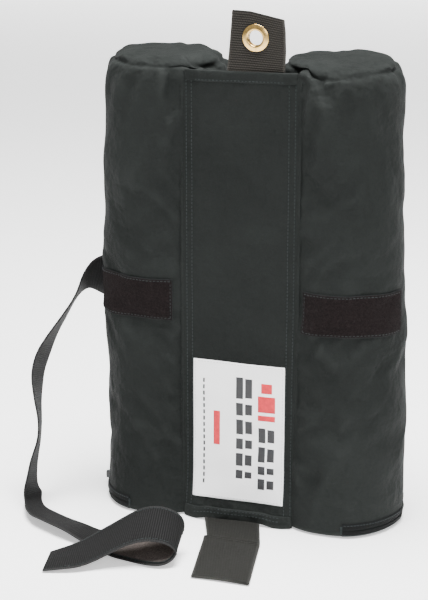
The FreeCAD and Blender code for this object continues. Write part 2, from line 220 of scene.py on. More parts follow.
# ---------------------------------------------------------------- materials
class Look:
    """A node material around one Principled shader."""

    def __init__(self, name, rough=0.7, **values):
        self.mat = bpy.data.materials.new(name)
        self.mat.use_nodes = True
        self.tree = self.mat.node_tree
        self.shader = self.tree.nodes["Principled BSDF"]
        self.shader.inputs["Roughness"].default_value = rough
        for key, value in values.items():
            self.shader.inputs[key.replace("_", " ")].default_value = value
        self.place = self.node("ShaderNodeUVMap")
        self.place.uv_map = "cloth"
        split = self.node("ShaderNodeSeparateXYZ")
        self.link(self.place.outputs[0], split.inputs[0])
        self.u, self.v = split.outputs[0], split.outputs[1]

    def node(self, kind):
        return self.tree.nodes.new(kind)

    def link(self, a, b):
        self.tree.links.new(a, b)

    def fill(self, socket, value):
        if hasattr(value, "is_output"):
            self.link(value, socket)
        else:
            socket.default_value = value

    def math(self, operation, a, b=0.0, clamp=False):
        n = self.node("ShaderNodeMath")
        n.operation, n.use_clamp = operation, clamp
        self.fill(n.inputs[0], a)
        self.fill(n.inputs[1], b)
        return n.outputs[0]

    def scale(self, value, factor, clamp=False):
        return self.math("MULTIPLY", value, factor, clamp)

    def wave(self, value, pitch):
        """Sine of a cloth coordinate with that pitch in millimetres."""
        return self.math("SINE", self.scale(value, 2 * math.pi / pitch))

    def noise(self, scale, detail=3.0, rough=0.55, kind="ShaderNodeTexNoise"):
        """Noise from 0 to 1 with features of 1/scale metres in the piece's own space."""
        n = self.node(kind)
        n.inputs["Scale"].default_value = scale
        if kind == "ShaderNodeTexNoise":
            n.inputs["Detail"].default_value = detail
            n.inputs["Roughness"].default_value = rough
        self.link(self.node("ShaderNodeTexCoord").outputs["Object"], n.inputs["Vector"])
        return n.outputs[0]

    def attribute(self, name):
        n = self.node("ShaderNodeAttribute")
        n.attribute_name = name
        return n.outputs["Fac"]

    def ramp(self, factor, stops):
        n = self.node("ShaderNodeValToRGB")
        self.link(factor, n.inputs[0])
        ramp = n.color_ramp
        while len(ramp.elements) < len(stops):
            ramp.elements.new(0.5)
        for element, (at, colour) in zip(ramp.elements, stops):
            element.position, element.color = at, (*colour, 1)
        return n.outputs[0]

    def shades(self, factor, shade, dark, light, low=0.3, high=0.7):
        """From a darkened to a lightened shade as the factor goes from low to high."""
        return self.ramp(factor, [(low, tint(shade, dark)), (high, tint(shade, light))])

    def mix(self, factor, a, b):
        n = self.node("ShaderNodeMix")
        n.data_type = "RGBA"
        self.fill(n.inputs[0], factor)
        for socket, value in ((n.inputs[6], a), (n.inputs[7], b)):
            self.fill(socket, (*value, 1) if isinstance(value, tuple) else value)
        return n.outputs[2]

    def colour(self, value):
        self.link(value, self.shader.inputs["Base Color"])

    def rough(self, factor, low, high):
        n = self.node("ShaderNodeMapRange")
        self.link(factor, n.inputs["Value"])
        n.inputs["To Min"].default_value, n.inputs["To Max"].default_value = low, high
        self.link(n.outputs[0], self.shader.inputs["Roughness"])

    def bump(self, *layers):
        """Bump from (height, depth in millimetres) layers."""
        before = None
        for height, depth in layers:
            n = self.node("ShaderNodeBump")
            n.inputs["Distance"].default_value = depth * MM
            self.link(height, n.inputs["Height"])
            if before is not None:
                self.link(before, n.inputs["Normal"])
            before = n.outputs[0]
        self.link(before, self.shader.inputs["Normal"])


def srgb(*values):
    """Linear colour from 0 to 255 display values."""
    return tuple(((v / 255 + 0.055) / 1.055) ** 2.4 if v > 10 else v / 255 / 12.92 for v in values)


def tint(shade, share, plus=0.0):
    return tuple(min(1, c * share + plus) for c in shade)


def canvas_look(name, shade):
    """Coated plain-weave polyester: checker of threads, slight sheen, mottling, and painted highlight on the
    ridges.
    """
    look = Look(name, rough=0.6, Sheen_Weight=0.02, Sheen_Roughness=0.4, IOR=1.08)
    weave = look.math("MULTIPLY", look.wave(look.u, 1.1), look.wave(look.v, 1.1))
    patches = look.noise(9, detail=5)
    fine = look.noise(900, detail=2)
    base = look.shades(patches, shade, 0.68, 1.34)
    base = look.mix(0.35, base, look.shades(fine, shade, 0.6, 1.5))
    base = look.mix(look.scale(look.math("ADD", weave, 1), 0.12), base, tint(shade, 2.1))
    # painted light: cloth is lightened where it stands proud, in place of light on ridges and shade in
    # creases
    base = look.mix(look.scale(look.attribute("painted_ridge_light"), 0.4, clamp=True), base, tint(shade, 2.0, 0.004))
    look.colour(base)
    look.rough(look.noise(40, detail=3), 0.5, 0.72)
    look.bump((look.noise(16, detail=4, rough=0.55), 17), (look.noise(60, detail=3), 2.2),
              (look.noise(300), 0.2), (weave, 0.09))
    return look.mat


def webbing_look(name, shade, depth):
    """Woven webbing: ribs across the tape, each rib broken into yarns, painted shade in the grooves, painted
    highlight on the ribs.
    """
    look = Look(name, rough=0.62, Sheen_Weight=0.02, Sheen_Roughness=0.4, IOR=1.13)
    rib_pitch, yarn_pitch = 2.0, 1.5
    both_ribs = look.wave(look.v, 2 * rib_pitch)
    turn = look.scale(look.math("SIGN", both_ribs), math.pi / 2)
    yarn = look.math("SINE", look.math("ADD", look.scale(look.u, 2 * math.pi / yarn_pitch), turn))
    rib = look.math("ABSOLUTE", both_ribs)
    height = look.math("ADD", look.scale(rib, 0.8), look.scale(yarn, 0.22))
    # painted shade and highlight: colour follows the rib height, dark in the grooves and light on the tops
    base = look.shades(height, shade, 0.12, 2.0, 0.15, 0.95)
    base = look.mix(look.scale(look.noise(60, detail=4), 0.5), base, tint(shade, 0.7))
    base = look.mix(look.scale(look.attribute("edge"), 0.5, clamp=True), base, tint(shade, 2.2, 0.012))
    look.colour(base)
    look.rough(look.noise(300), 0.55, 0.8)
    look.bump((height, depth), (look.noise(1400, detail=2), 0.08))
    return look.mat


def pile_look(name, shade, grain, depth):
    """Hook or loop pile: a dense mat of tiny fibres with clumps."""
    look = Look(name, rough=0.9, Sheen_Weight=0.02, Sheen_Roughness=0.6, IOR=1.05)
    clumps, fibres = look.noise(grain * 0.35, detail=4, rough=0.7), look.noise(grain, detail=5, rough=0.8)
    cells = look.noise(grain * 0.8, kind="ShaderNodeTexVoronoi")
    base = look.shades(look.scale(look.math("ADD", clumps, fibres), 0.5), shade, 0.3, 1.8, 0.35, 0.62)
    speckle = look.ramp(look.noise(grain * 0.22, detail=3, rough=0.9), [(0.55, (0, 0, 0)), (0.72, (1, 1, 1))])
    base = look.mix(look.scale(speckle, 0.7), base, tint(shade, 2.6))
    border = (0.018, 0.02, 0.02)
    base = look.mix(look.attribute("edge"), base, border)
    look.colour(base)
    look.rough(fibres, 0.8, 1.0)
    look.bump((clumps, depth * 1.5), (cells, depth), (fibres, depth * 0.7))
    return look.mat


def tape_look(name, shade):
    """Zip tape: fine herringbone."""
    look = Look(name, rough=0.7, Sheen_Weight=0.02, IOR=1.12)
    zig = look.math("ABSOLUTE", look.math("SUBTRACT", look.math("FRACT", look.scale(look.v, 0.4)), 0.5))
    twill = look.math("SINE", look.scale(look.math("ADD", look.u, look.scale(zig, 3.0)), 9.0))
    base = look.shades(twill, shade, 0.5, 1.4, 0.2, 0.8)
    look.colour(look.mix(look.scale(look.noise(80), 0.4), base, tint(shade, 0.6)))
    look.rough(look.noise(200), 0.65, 0.85)
    look.bump((twill, 0.08), (look.noise(1200), 0.05))
    return look.mat


def label_look(name):
    """White coated label cloth: faint weave, slight greyish mottling and scuffs."""
    look = Look(name, rough=0.5, Specular_IOR_Level=0.4)
    weave = look.math("MULTIPLY", look.wave(look.u, 0.7), look.wave(look.v, 0.7))
    base = look.ramp(look.noise(30, detail=6), [(0.25, (0.93, 0.93, 0.93)), (0.75, (0.99, 0.99, 0.99))])
    base = look.mix(look.scale(look.math("ADD", weave, 1), 0.04), base, (0.86, 0.86, 0.88))
    look.colour(base)
    look.rough(look.noise(90), 0.42, 0.6)
    look.bump((look.noise(45, detail=3), 0.5), (weave, 0.04))
    return look.mat


def ink_look(name, shade, rough=0.4):
    """Screen print: a thin, slightly uneven film."""
    look = Look(name, rough=rough, Specular_IOR_Level=0.4)
    patches = look.noise(220, detail=5)
    look.colour(look.ramp(patches, [(0.3, tint(shade, 0.8)), (0.75, tint(shade, 1.25, 0.004))]))
    look.rough(patches, rough, rough + 0.25)
    look.bump((look.noise(900), 0.03))
    return look.mat


def metal_look(name, shade, rough, scratch, metallic=1.0, **values):
    """Metal with fine scratches, dull patches and small dents."""
    look = Look(name, rough=rough, Metallic=metallic, **values)
    grime, lines = look.noise(180, detail=6), look.noise(2600, detail=2)
    look.colour(look.ramp(grime, [(0.25, tint(shade, 0.62)), (0.6, shade), (0.85, tint(shade, 1.12))]))
    look.rough(look.scale(look.math("ADD", grime, lines), 0.5), max(0.08, rough - 0.12), rough + 0.22)
    look.bump((lines, scratch), (grime, scratch * 2))
    return look.mat


def thread_look(name, shade):
    """Sewing thread: two plies twisted together."""
    look = Look(name, rough=0.6, Sheen_Weight=0.02, IOR=1.2)
    twist = look.noise(3200, detail=1)
    look.colour(look.shades(twist, shade, 0.6, 1.4))
    look.rough(twist, 0.5, 0.75)
    look.bump((twist, 0.06))
    return look.mat


def plastic_look(name, shade):
    """Moulded plastic with a fine grain."""
    look = Look(name, rough=0.4, Specular_IOR_Level=0.5)
    grain = look.noise(900, detail=3)
    look.colour(look.shades(grain, shade, 0.7, 1.3))
    look.rough(grain, 0.3, 0.5)
    look.bump((grain, 0.03))
    return look.mat


MATS = {
    "canvas": canvas_look("canvas_cloth", srgb(29, 31, 30)),
    "webbing": webbing_look("black_webbing", srgb(44, 42, 39), depth=0.45),
    "strap": webbing_look("strap_webbing", srgb(25, 25, 25), depth=0.3),
    "lower": webbing_look("tab_webbing", srgb(33, 33, 31), depth=0.45),
    "loop_pile": pile_look("loop_pile", srgb(23, 19, 19), 1500, 0.5),
    "hook_pile": pile_look("hook_pile", srgb(74, 68, 65), 2200, 0.35),
    "zip_tape": tape_look("zip_tape", srgb(27, 28, 28)),
    "zip_coil": plastic_look("zip_coil", srgb(38, 39, 41)),
    "zip_metal": metal_look("zip_enamel", srgb(46, 47, 48), 0.38, 0.04, metallic=0.25, Coat_Weight=0.3),
    "grommet": metal_look("brass", (0.84, 0.56, 0.20), 0.17, 0.012),
    "label": label_look("label_cloth"),
    "ink": ink_look("label_ink", srgb(38, 38, 40)),
    "red": ink_look("label_red", srgb(196, 30, 44)),
    "thread": thread_look("black_thread", srgb(43, 49, 49)),
    "pale_thread": thread_look("label_thread", srgb(205, 205, 205)),
}


def dress(obj, look, body=None, nodes=()):
    """Material, CAD body and the CAD nodes that a piece stands for."""
    obj.data.materials.clear()
    obj.data.materials.append(MATS[look])
    if nodes:
        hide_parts(*nodes)
    if body:
        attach(obj, body)
    return obj


def add_values(obj, name, values):
    """A number for each vertex that the material reads."""
    layer = obj.data.attributes.new(name, "FLOAT", "POINT")
    layer.data.foreach_set("value", np.asarray(values, np.float32))


def edge_values(obj, rows, cols):
    """Marks the long edges of a slab as selvedge."""
    line = np.zeros((rows, cols))
    line[:, 0] = line[:, -1] = 1
    rim = 2 * (rows + cols) - 4
    add_values(obj, "edge", np.r_[line.ravel(), line.ravel(), np.ones(rim)])


# ---------------------------------------------------------------- the two sand tubes
SIDES = {"left": -1, "right": 1}
COLUMNS = 84  # points round a tube
CLOTH_FRAMES, CLOTH_REACH = 20, 7  # length of the simulation, and how far it may move a point
HEIGHTS = [0, 4, 10, 16, 30, 60, 120, 200, 300, WALL_TOP]
SEAM_PROFILE = [54.6, 55.7, 56.1, 56.4, 57.4, 57.9, 57.3, 56.4, 56.2, 56.0]  # where the panel is sewn on
PROFILES = {"left": [54.6, 55.7, 56.0, 56.2, 56.2, 55.8, 54.6, 54.2, 55.0, 55.2],
            "right": [54.6, 56.0, 56.6, 57.4, 59.0, 59.8, 58.0, 56.0, 55.2, 54.0]}
FRONT_KICK, KICK_HIGH = 5.5, 50  # the feet and the panel slump forward on the floor
CAP_SEAM = {  # height of the cap's seam by turn outward from the front, in degrees
    "left": ([-180, -90, -28, 13, 38, 71, 98, 117, 180],
             [411, 412.5, 414.7, 412.5, 413.2, 413, 414, 413, 411]),
    "right": ([-180, -150, -110, -71, -24, -8, 10, 35, 55, 88, 109, 140, 180],
              [412, 411, 414, 418, 416.5, 412.6, 410.4, 412, 413.6, 411.5, 414.5, 416, 412]),
}
CREASES = {  # folds pressed into the wall: turn, height, turn, height, depth, width
    "left": [(-30, 402, -6, 330, 1.6, 7), (10, 404, 14, 376, 1.5, 6), (30, 408, 44, 372, 1.3, 6),
             (-31, 300, 2, 250, 0.9, 9), (-30, 250, 20, 238, 0.7, 8), (-31, 190, 0, 152, 0.8, 8),
             (62, 380, 84, 300, 0.9, 10), (-30, 60, 10, 20, 0.9, 8), (20, 120, 60, 90, 0.6, 10)],
    "right": [(-29, 6, -4, 70, 3.4, 9), (-4, 70, 16, 150, 1.2, 12), (-12, 402, -20, 340, 1.6, 7),
              (16, 402, 10, 360, 1.5, 6), (42, 406, 50, 352, 1.5, 7), (-30, 330, 16, 292, 1.0, 9),
              (60, 240, 96, 236, 1.6, 6), (-30, 180, 8, 130, 0.9, 9), (30, 330, 66, 262, 0.9, 10),
              (-18, 404, -30, 372, 1.2, 5)],
}


def wall_radius(z, side=None):
    return np.interp(z, HEIGHTS, PROFILES[side] if side else SEAM_PROFILE)


def kick(z):
    """Share of the forward slump at a height."""
    return np.clip(1 - np.asarray(z, float) / KICK_HIGH, 0, 1) ** 1.6


def on_circle(side, turn, radius, z):
    """Point of a tube at a turn outward from its front, in degrees."""
    a = np.radians(turn)
    sign = SIDES[side]
    return np.stack([sign * (TUBE_X + radius * np.sin(a)), -radius * np.cos(a), z + 0 * a], axis=-1)


def tube_shell(side):
    """Rings from the middle of the foot, up the wall and over the crowned cap: points, faces, ring index."""
    turns = np.linspace(-180, 180, COLUMNS, endpoint=False)
    seam = np.interp(turns, *CAP_SEAM[side])
    seam_radius = wall_radius(WALL_TOP, side) - 5.2 - 0.3 * (seam - 411)
    rings = [(r, np.full(COLUMNS, FLOOR_GAP)) for r in (8, 20, 32, 42, 50)]
    rings.append((54.2, np.full(COLUMNS, 1.4)))
    heights = np.r_[3.4, 6, 9, 12, 15, np.linspace(19, WALL_TOP, 80)]
    rings += [(wall_radius(z, side), np.full(COLUMNS, z)) for z in heights]
    top = wall_radius(WALL_TOP, side)
    for share in (0.2, 0.4, 0.58, 0.74, 0.88):
        rings.append((top - (top - seam_radius) * share ** 1.6, WALL_TOP + (seam - WALL_TOP) * share))
    foot_ring, seam_ring = 5, len(rings)
    rings.append((seam_radius, seam))
    crown = 419.6 if side == "left" else 421.0
    for share, rise in ((0.02, 0.2), (0.05, 0.38), (0.1, 0.56), (0.17, 0.72), (0.26, 0.85), (0.38, 0.94),
                        (0.52, 0.98), (0.68, 1), (0.84, 1)):
        rings.append((seam_radius * (1 - share), seam + (crown - seam) * rise))
    points = [on_circle(side, turns, r, z) for r, z in rings]
    points = np.vstack(points + [[[SIDES[side] * TUBE_X, 0, FLOOR_GAP]], [[SIDES[side] * TUBE_X, 0, crown]]])
    faces, count = [], len(rings)
    for i in range(count - 1):
        for j in range(COLUMNS):
            k = (j + 1) % COLUMNS
            faces.append((i * COLUMNS + j, i * COLUMNS + k, (i + 1) * COLUMNS + k, (i + 1) * COLUMNS + j))
    low, high = count * COLUMNS, count * COLUMNS + 1
    for j in range(COLUMNS):
        k = (j + 1) % COLUMNS
        faces += [(low, k, j), (high, (count - 1) * COLUMNS + j, (count - 1) * COLUMNS + k)]
    return points, faces, turns, foot_ring, seam_ring, count


def ring_weights(count, ring, reach):
    """Weight by ring: 1 at one ring, fading over its neighbours."""
    w = np.clip(1 - np.abs(np.arange(count) - ring) / (reach + 1), 0, 1)
    return np.r_[np.repeat(w, COLUMNS), 0, 0]


def group(obj, name, weights):
    made = obj.vertex_groups.new(name=name)
    for i, w in enumerate(weights):
        if w > 0.001:
            made.add([i], float(w), "REPLACE")


def set_cloth(obj):
    """Stiff coated fabric, blown out from inside, gathered at the cap and foot seams."""
    cloth = obj.modifiers.new("cloth", "CLOTH")
    s = cloth.settings
    s.quality, s.mass, s.air_damping = 6, 0.25, 4
    s.tension_stiffness = s.compression_stiffness = 22
    s.shear_stiffness, s.bending_stiffness = 8, 0.6
    s.use_pressure, s.uniform_pressure_force = True, 3.5
    s.effector_weights.gravity = 0
    s.vertex_group_mass, s.pin_stiffness = "held", 1
    s.vertex_group_shrink, s.shrink_min, s.shrink_max = "gather", -0.024, 0.03
    cloth.point_cache.frame_start, cloth.point_cache.frame_end = 1, CLOTH_FRAMES


def crease(points, side):
    """Inward push of each wall point from the pressed folds."""
    a = np.degrees(np.arctan2(SIDES[side] * points[:, 0] - TUBE_X, -points[:, 1]))
    push = np.zeros(len(points))
    for t0, z0, t1, z1, depth, width in CREASES[side]:
        p = np.stack([np.radians(a) * RADIUS, points[:, 2]], axis=1)
        s, e = np.array([math.radians(t0) * RADIUS, z0]), np.array([math.radians(t1) * RADIUS, z1])
        t = np.clip(((p - s) @ (e - s)) / ((e - s) @ (e - s)), 0, 1)
        bend = np.stack([np.sin(t * math.pi) * 2.5, np.zeros(len(t))], axis=1)
        off = np.linalg.norm(p - (s + t[:, None] * (e - s)) - bend, axis=1)
        fade = np.sin(np.pi * np.clip(t * 0.86 + 0.12, 0, 1)) ** 0.7
        valley, bank = np.exp(-(off / width) ** 2 * 2.4), np.exp(-((off - 1.5 * width) / width) ** 2 * 2)
        push += depth * fade * (valley - 0.45 * bank)
    return push


def make_tubes():
    made = {}
    for side in SIDES:
        points, faces, turns, foot, seam, count = tube_shell(side)
        obj = mesh_piece(f"{side}_tube_bag", points, faces)
        made[side] = (obj, points, turns, foot, seam, count)
        turn_of = np.r_[np.tile(turns, count), 0, 0]
        ring_of = np.r_[np.repeat(np.arange(count), COLUMNS), 0, count]
        sewn = np.clip(1 - np.abs(turn_of - SEAM_TURN[side]) / 6, 0, 1) * (ring_of > foot) * (ring_of <= seam)
        held = np.maximum((ring_of <= foot + 1) * 1.0, np.minimum(1, sewn * 1.4))
        zip_band = ((points[:, 2] > 2) & (points[:, 2] < 17)) * 1.0
        group(obj, "held", np.maximum(held, zip_band))
        gather = np.maximum(ring_weights(count, seam, 2), ring_weights(count, foot + 6, 3) * 0.6)
        group(obj, "gather", gather)
        set_cloth(obj)
    for f in range(1, CLOTH_FRAMES + 1):
        bpy.context.scene.frame_set(f)
    for side, (obj, points, turns, foot, seam, count) in made.items():
        rest, axis = points, np.array([SIDES[side] * TUBE_X, 0])
        graph = bpy.context.evaluated_depsgraph_get()
        co = np.zeros(len(points) * 3, np.float32)
        obj.evaluated_get(graph).data.vertices.foreach_get("co", co)
        obj.modifiers.clear()
        shift = co.reshape(-1, 3) / MM - rest
        far = np.linalg.norm(shift, axis=1, keepdims=True)
        shift *= np.minimum(1, CLOTH_REACH / np.maximum(far, 1e-6))
        points = rest + shift
        flat = points[:, :2] - axis
        radius = np.linalg.norm(flat, axis=1)
        ring_of = np.r_[np.repeat(np.arange(count), COLUMNS), 0, count]
        turn_of = np.r_[np.tile(turns, count), 0, 0]
        wall = (ring_of > foot) & (ring_of < seam)
        sewn = np.clip(1 - np.abs(turn_of - SEAM_TURN[side]) / 5, 0, 1)
        target = radius.copy()
        for i in range(foot + 1, seam):
            row = slice(i * COLUMNS, (i + 1) * COLUMNS)
            target[row] += np.linalg.norm(rest[row, :2] - axis, axis=1).mean() - radius[row].mean()
        seam_line = wall_radius(np.minimum(points[:, 2], WALL_TOP))
        radius = np.where(wall, target * (1 - sewn) + seam_line * sewn, radius)
        lumps = wobble(points, 46, 3 + SIDES[side]) * 2.2 + wobble(points, 17, 8 + SIDES[side]) * 1.2
        fade = np.clip((points[:, 2] - 18) / 30, 0, 1) * (1 - sewn) * (ring_of < seam + 1)
        radius = radius + (lumps - crease(points, side) * (points[:, 2] > 16)) * fade
        points[:, :2] = axis + unit(flat) * radius[:, None]
        uneven = wobble(points, 22, 15 + SIDES[side]) * 3.2 + wobble(points, 9, 19) * 0.9
        points[:, 2] += np.where(ring_of > seam, uneven, 0)
        # the seam ring is drawn in, and the cloth beside it puckers
        pucker = np.sin(np.radians(turn_of) * 19 + 2 * np.sin(np.radians(turn_of) * 5)) * 0.8
        for offset, pull, drop in ((0, -1.3, -1.1), (-1, 0.1, 0.2), (1, 0, 0.3), (-2, 0.3, 0.1),
                                   (-3, 0.3, 0), (-4, 0.2, 0)):
            ring = ring_of == seam + offset
            out = pull + pucker[ring] * (0.9 if offset < 0 else 0.5)
            points[ring, :2] += unit(points[ring, :2] - axis) * out[:, None]
            points[ring, 2] += drop + pucker[ring] * 0.6
        drawn = np.sin(np.radians(turn_of) * 11 + 1.5 * np.sin(np.radians(turn_of) * 4) + SIDES[side])
        below, above = seam - ring_of, ring_of - seam
        fade_below = np.where(below > 0, np.exp(-below / 5.0), 0) * (1 - sewn)
        points[:, :2] += unit(points[:, :2] - axis) * (1.5 * (drawn - 0.2) * fade_below)[:, None]
        fade_above = np.where(above > 0, np.exp(-above / 3.5), 0) * np.clip(radius / 12, 0, 1)
        points[:, 2] += 1.5 * drawn * fade_above
        points[:, 2] = np.maximum(points[:, 2], FLOOR_GAP)
        facing = np.clip((np.cos(np.radians(turn_of)) - 0.1) / 0.7, 0, 1) * np.clip(radius / 45, 0, 1)
        points[:, 1] -= FRONT_KICK * kick(points[:, 2]) * facing
        if side == "right":  # the sand has slumped to the outer front of this foot
            bulge = np.interp(turn_of, [0, 25, 92, 112], [0, 1, 1, 0])
            bulge = bulge * np.interp(points[:, 2], [0, 4, 14, 40], [0.7, 1, 1, 0])
            points[:, :2] += unit(points[:, :2] - axis) * (2.9 * bulge * (radius > 50))[:, None]
        move_points(obj, points)
        subdivide(obj)
        finish_tube(obj, side)
    return {side: item[0] for side, item in made.items()}


def finish_tube(obj, side):
    """Cloth coordinates round the tube and over its ends, and painted light on the ridges."""
    points = points_of(obj)
    sign = SIDES[side]
    data = obj.data
    loops = np.zeros(len(data.loops), int)
    data.loops.foreach_get("vertex_index", loops)
    angle = np.arctan2(sign * points[:, 0] - TUBE_X, -points[:, 1])
    starts = np.zeros(len(data.polygons), int)
    totals = np.zeros(len(data.polygons), int)
    data.polygons.foreach_get("loop_start", starts)
    data.polygons.foreach_get("loop_total", totals)
    face_of = np.repeat(np.arange(len(starts)), totals)
    first = angle[loops[starts]][face_of]
    turn = first + (angle[loops] - first + math.pi) % (2 * math.pi) - math.pi
    p = points[loops]
    normals = np.zeros(len(data.polygons) * 3, np.float32)
    data.polygons.foreach_get("normal", normals)
    lying = (np.abs(normals.reshape(-1, 3)[:, 2]) > 0.75)[face_of]
    u = np.where(lying, p[:, 0], turn * RADIUS)
    v = np.where(lying, p[:, 1], p[:, 2])
    layer = data.uv_layers.new(name="cloth")
    layer.data.foreach_set("uv", np.stack([u, v], axis=1).astype(np.float32).ravel())
    # painted highlight on the tube's ridges
    add_values(obj, "painted_ridge_light", ridge(obj))


def ridge(obj):
    """How far each vertex stands above its neighbours, scaled for the painted ridge highlight."""
    data = obj.data
    points = points_of(obj)
    edges = np.zeros(len(data.edges) * 2, int)
    data.edges.foreach_get("vertices", edges)
    a, b = edges[::2], edges[1::2]
    mean, count = np.zeros_like(points), np.zeros(len(points))
    np.add.at(mean, a, points[b])
    np.add.at(mean, b, points[a])
    np.add.at(count, a, 1)
    np.add.at(count, b, 1)
    normals = np.zeros(len(points) * 3, np.float32)
    data.vertices.foreach_get("normal", normals)
    out = ((points - mean / count[:, None]) * normals.reshape(-1, 3)).sum(1)
    for _ in range(3):
        acc = np.zeros(len(out))
        np.add.at(acc, a, out[b])
        np.add.at(acc, b, out[a])
        out = 0.5 * out + 0.5 * acc / count
    return np.clip((out - 0.03) * 5.5, 0, 1)


tubes = make_tubes()
for side, obj in tubes.items():
    parts = ("tube_wall", "top_cap", "bottom_cap", "sand_fill")
    dress(obj, "canvas", f"{side}_tube", [f"{side}_{p}" for p in parts])

SURFACES = {}
for side, obj in tubes.items():
    SURFACES[side] = BVHTree.FromPolygons([v.co.copy() for v in obj.data.vertices],
                                          [tuple(p.vertices) for p in obj.data.polygons])


def on_tube(side, turn, z, lift=0.0):
    """Point on a tube's cloth at a turn and height, lifted off it, in millimetres."""
    a = math.radians(turn)
    way = Vector((SIDES[side] * math.sin(a), -math.cos(a), 0))
    start = Vector((SIDES[side] * TUBE_X * MM, 0, z * MM)) + way * 0.09
    hit, _, _, _ = SURFACES[side].ray_cast(start, -way)
    point = np.array(hit if hit is not None else start - way * 0.034) / MM
    return point + np.array(way) * lift


def outward(side, points):
    """Unit vectors straight out from a tube's axis at points beside it."""
    away = np.array(points, float) - [SIDES[side] * TUBE_X, 0, 0]
    away[..., 2] = 0
    return unit(away)


def tube_path(side, start, end, lift, count):
    """Points on a tube's cloth between two (turn, height) places, and the ways out from its axis there."""
    turns, heights = np.linspace(start[0], end[0], count), np.linspace(start[1], end[1], count)
    path = np.array([on_tube(side, t, z, lift) for t, z in zip(turns, heights)])
    return path, outward(side, path)


def wrap_grid(side, turns, z0, z1, cols, rows, lift):
    """Grid over a tube's cloth between two turns and two heights, and how far round each point lies."""
    across, heights = np.linspace(*turns, cols), np.linspace(z0, z1, rows)
    grid = np.array([[on_tube(side, t, z, lift) for t in across] for z in heights])
    arc = np.broadcast_to(np.linspace(0, arc_length(turns), cols), (rows, cols))
    return grid, arc


def arc_length(turns):
    return math.radians(turns[1] - turns[0]) * RADIUS


# ---------------------------------------------------------------- sewing
class Sewing:
    """Rows of stitches gathered into one piece."""

    def __init__(self):
        self.points, self.faces = [], []

    def row(self, path, normals, pitch=3.3, length=2.3, wide=0.65, high=0.5, lift=0.2):
        path, normals = np.asarray(path, float), np.asarray(normals, float)
        at = distances(path)
        for k in range(int((at[-1] - length) // pitch) + 1):
            ends = [k * pitch + length * s for s in (0, 0.18, 0.82, 1)]
            base = len(self.points)
            centre = np.stack([np.interp(ends, at, path[:, c]) for c in range(3)], axis=1)
            normal = unit(np.stack([np.interp(ends, at, normals[:, c]) for c in range(3)], axis=1))
            along = unit(centre[-1] - centre[0])
            for i, size in enumerate((0.25, 1, 1, 0.25)):
                side = unit(np.cross(normal[i], along))
                c = centre[i] + normal[i] * (lift - (0.2 if size < 1 else 0))
                for w, h in ((1, 0), (0, 1), (-1, 0), (0, -1)):
                    self.points.append(c + side * w * wide / 2 * size + normal[i] * h * high / 2 * size)
            self.faces += [tuple(base + i for i in face) for face in ring_faces(4, 4)]

    def piece(self, name, body, look="thread"):
        obj = mesh_piece(name, self.points, self.faces)
        set_uv(obj, np.asarray(self.points)[:, [0, 2]])
        return dress(obj, look, body)


# ---------------------------------------------------------------- the panel between the tubes
def seam_point(side, z, proud=0.0):
    """Place of a side seam at a height, before the slump: x and y."""
    r, a = wall_radius(np.clip(z, 6, WALL_TOP)) + proud, math.radians(SEAM_TURN[side])
    return SIDES[side] * (TUBE_X + r * math.sin(a)), -r * math.cos(a)


BASE_Z = 3.4
CORNER_DROP = 2.6  # the panel's bottom corners hang lower than its middle, which rests on the tab


def panel_point(x, z, lift=0.0, shares=False):
    """Front face of the panel: it follows the tubes at its sides, sags a little and slumps at the floor.
    With shares, x is a share of the half width."""
    (left_x, left_y), (right_x, right_y) = seam_point("left", z), seam_point("right", z)
    middle, half = (left_x + right_x) / 2, (right_x - left_x) / 2
    if shares:
        x = middle + x * half
    share = (x - middle) / half
    inside = np.clip((1 - np.abs(share)) * 4, 0, 1)
    y = left_y + (right_y - left_y) * (share + 1) / 2 - 0.6 - 2.4 * inside * np.clip((z - 370) / 30, 0, 1)
    y = y - (FRONT_KICK + 4.2 * (1 - share ** 8)) * kick(z) - 0.9 * inside
    flat = np.stack([x, 0 * x, z], axis=-1)
    y = y + (wobble(flat, 40, 5) * 1.8 + wobble(flat, 16, 6) * 0.6) * inside
    drop = CORNER_DROP * np.clip((np.abs(x) - 27) / 10, 0, 1) * np.clip(1 - z / 24, 0, 1)
    return np.stack([x, y - lift, z - drop], axis=-1)


def panel_grid(x0, x1, z0, z1, cols, rows, lift=0.0, fit=False):
    """Grid over the panel; with fit, x0 and x1 are shares of the panel's half width."""
    x, z = np.meshgrid(np.linspace(x0, x1, cols), np.linspace(z0, z1, rows))
    return panel_point(x, z, lift, shares=fit)


def top_slope(x):
    """Rise of the panel's top edge from left to right."""
    return np.interp(x, [-54, 54], [-0.6, 1.4])


grid = panel_grid(-1.0, 1.0, BASE_Z, PANEL_TOP, 61, 190, lift=-0.9, fit=True)
grid[..., 2] += top_slope(grid[..., 0]) * np.clip((grid[..., 2] - 380) / 32, 0, 1)
panel = slab("panel_cloth", grid, 1.8, grid[..., [0, 2]])
# painted highlight on the panel's ridges, weaker than on the tubes
add_values(panel, "painted_ridge_light", ridge(panel) * 0.6)
dress(panel, "canvas", "panel", ["panel_back_cloth", "panel_front_cloth"])


def hem(name, node, z0, z1):
    """A hem's folded edge: a plump strip over the panel's edge, front and back."""
    rows, cols = 9, 61
    g = panel_grid(-0.985, 0.985, z0, z1, cols, rows, lift=0.25, fit=True)
    t = np.linspace(-1, 1, rows)[:, None]
    g[..., 1] -= 0.5 * (1 - t ** 2) - 0.15 * wobble(g, 6, 4)
    g[..., 2] += top_slope(g[..., 0]) * (z1 > 380) + 0.3 * wobble(g, 14, 7)
    obj = slab(name, g, 1.0, g[..., [0, 2]])
    # painted highlight on the hem's rounded fold
    add_values(obj, "painted_ridge_light", ridge(obj))
    return dress(obj, "canvas", "panel", [node])


top_hem = hem("panel_top_hem_fold", "panel_top_hem", PANEL_TOP - 8.6, PANEL_TOP + 0.6)
low_hem = hem("panel_low_hem_fold", "panel_bottom_hem", BASE_Z - 0.3, BASE_Z + 9)

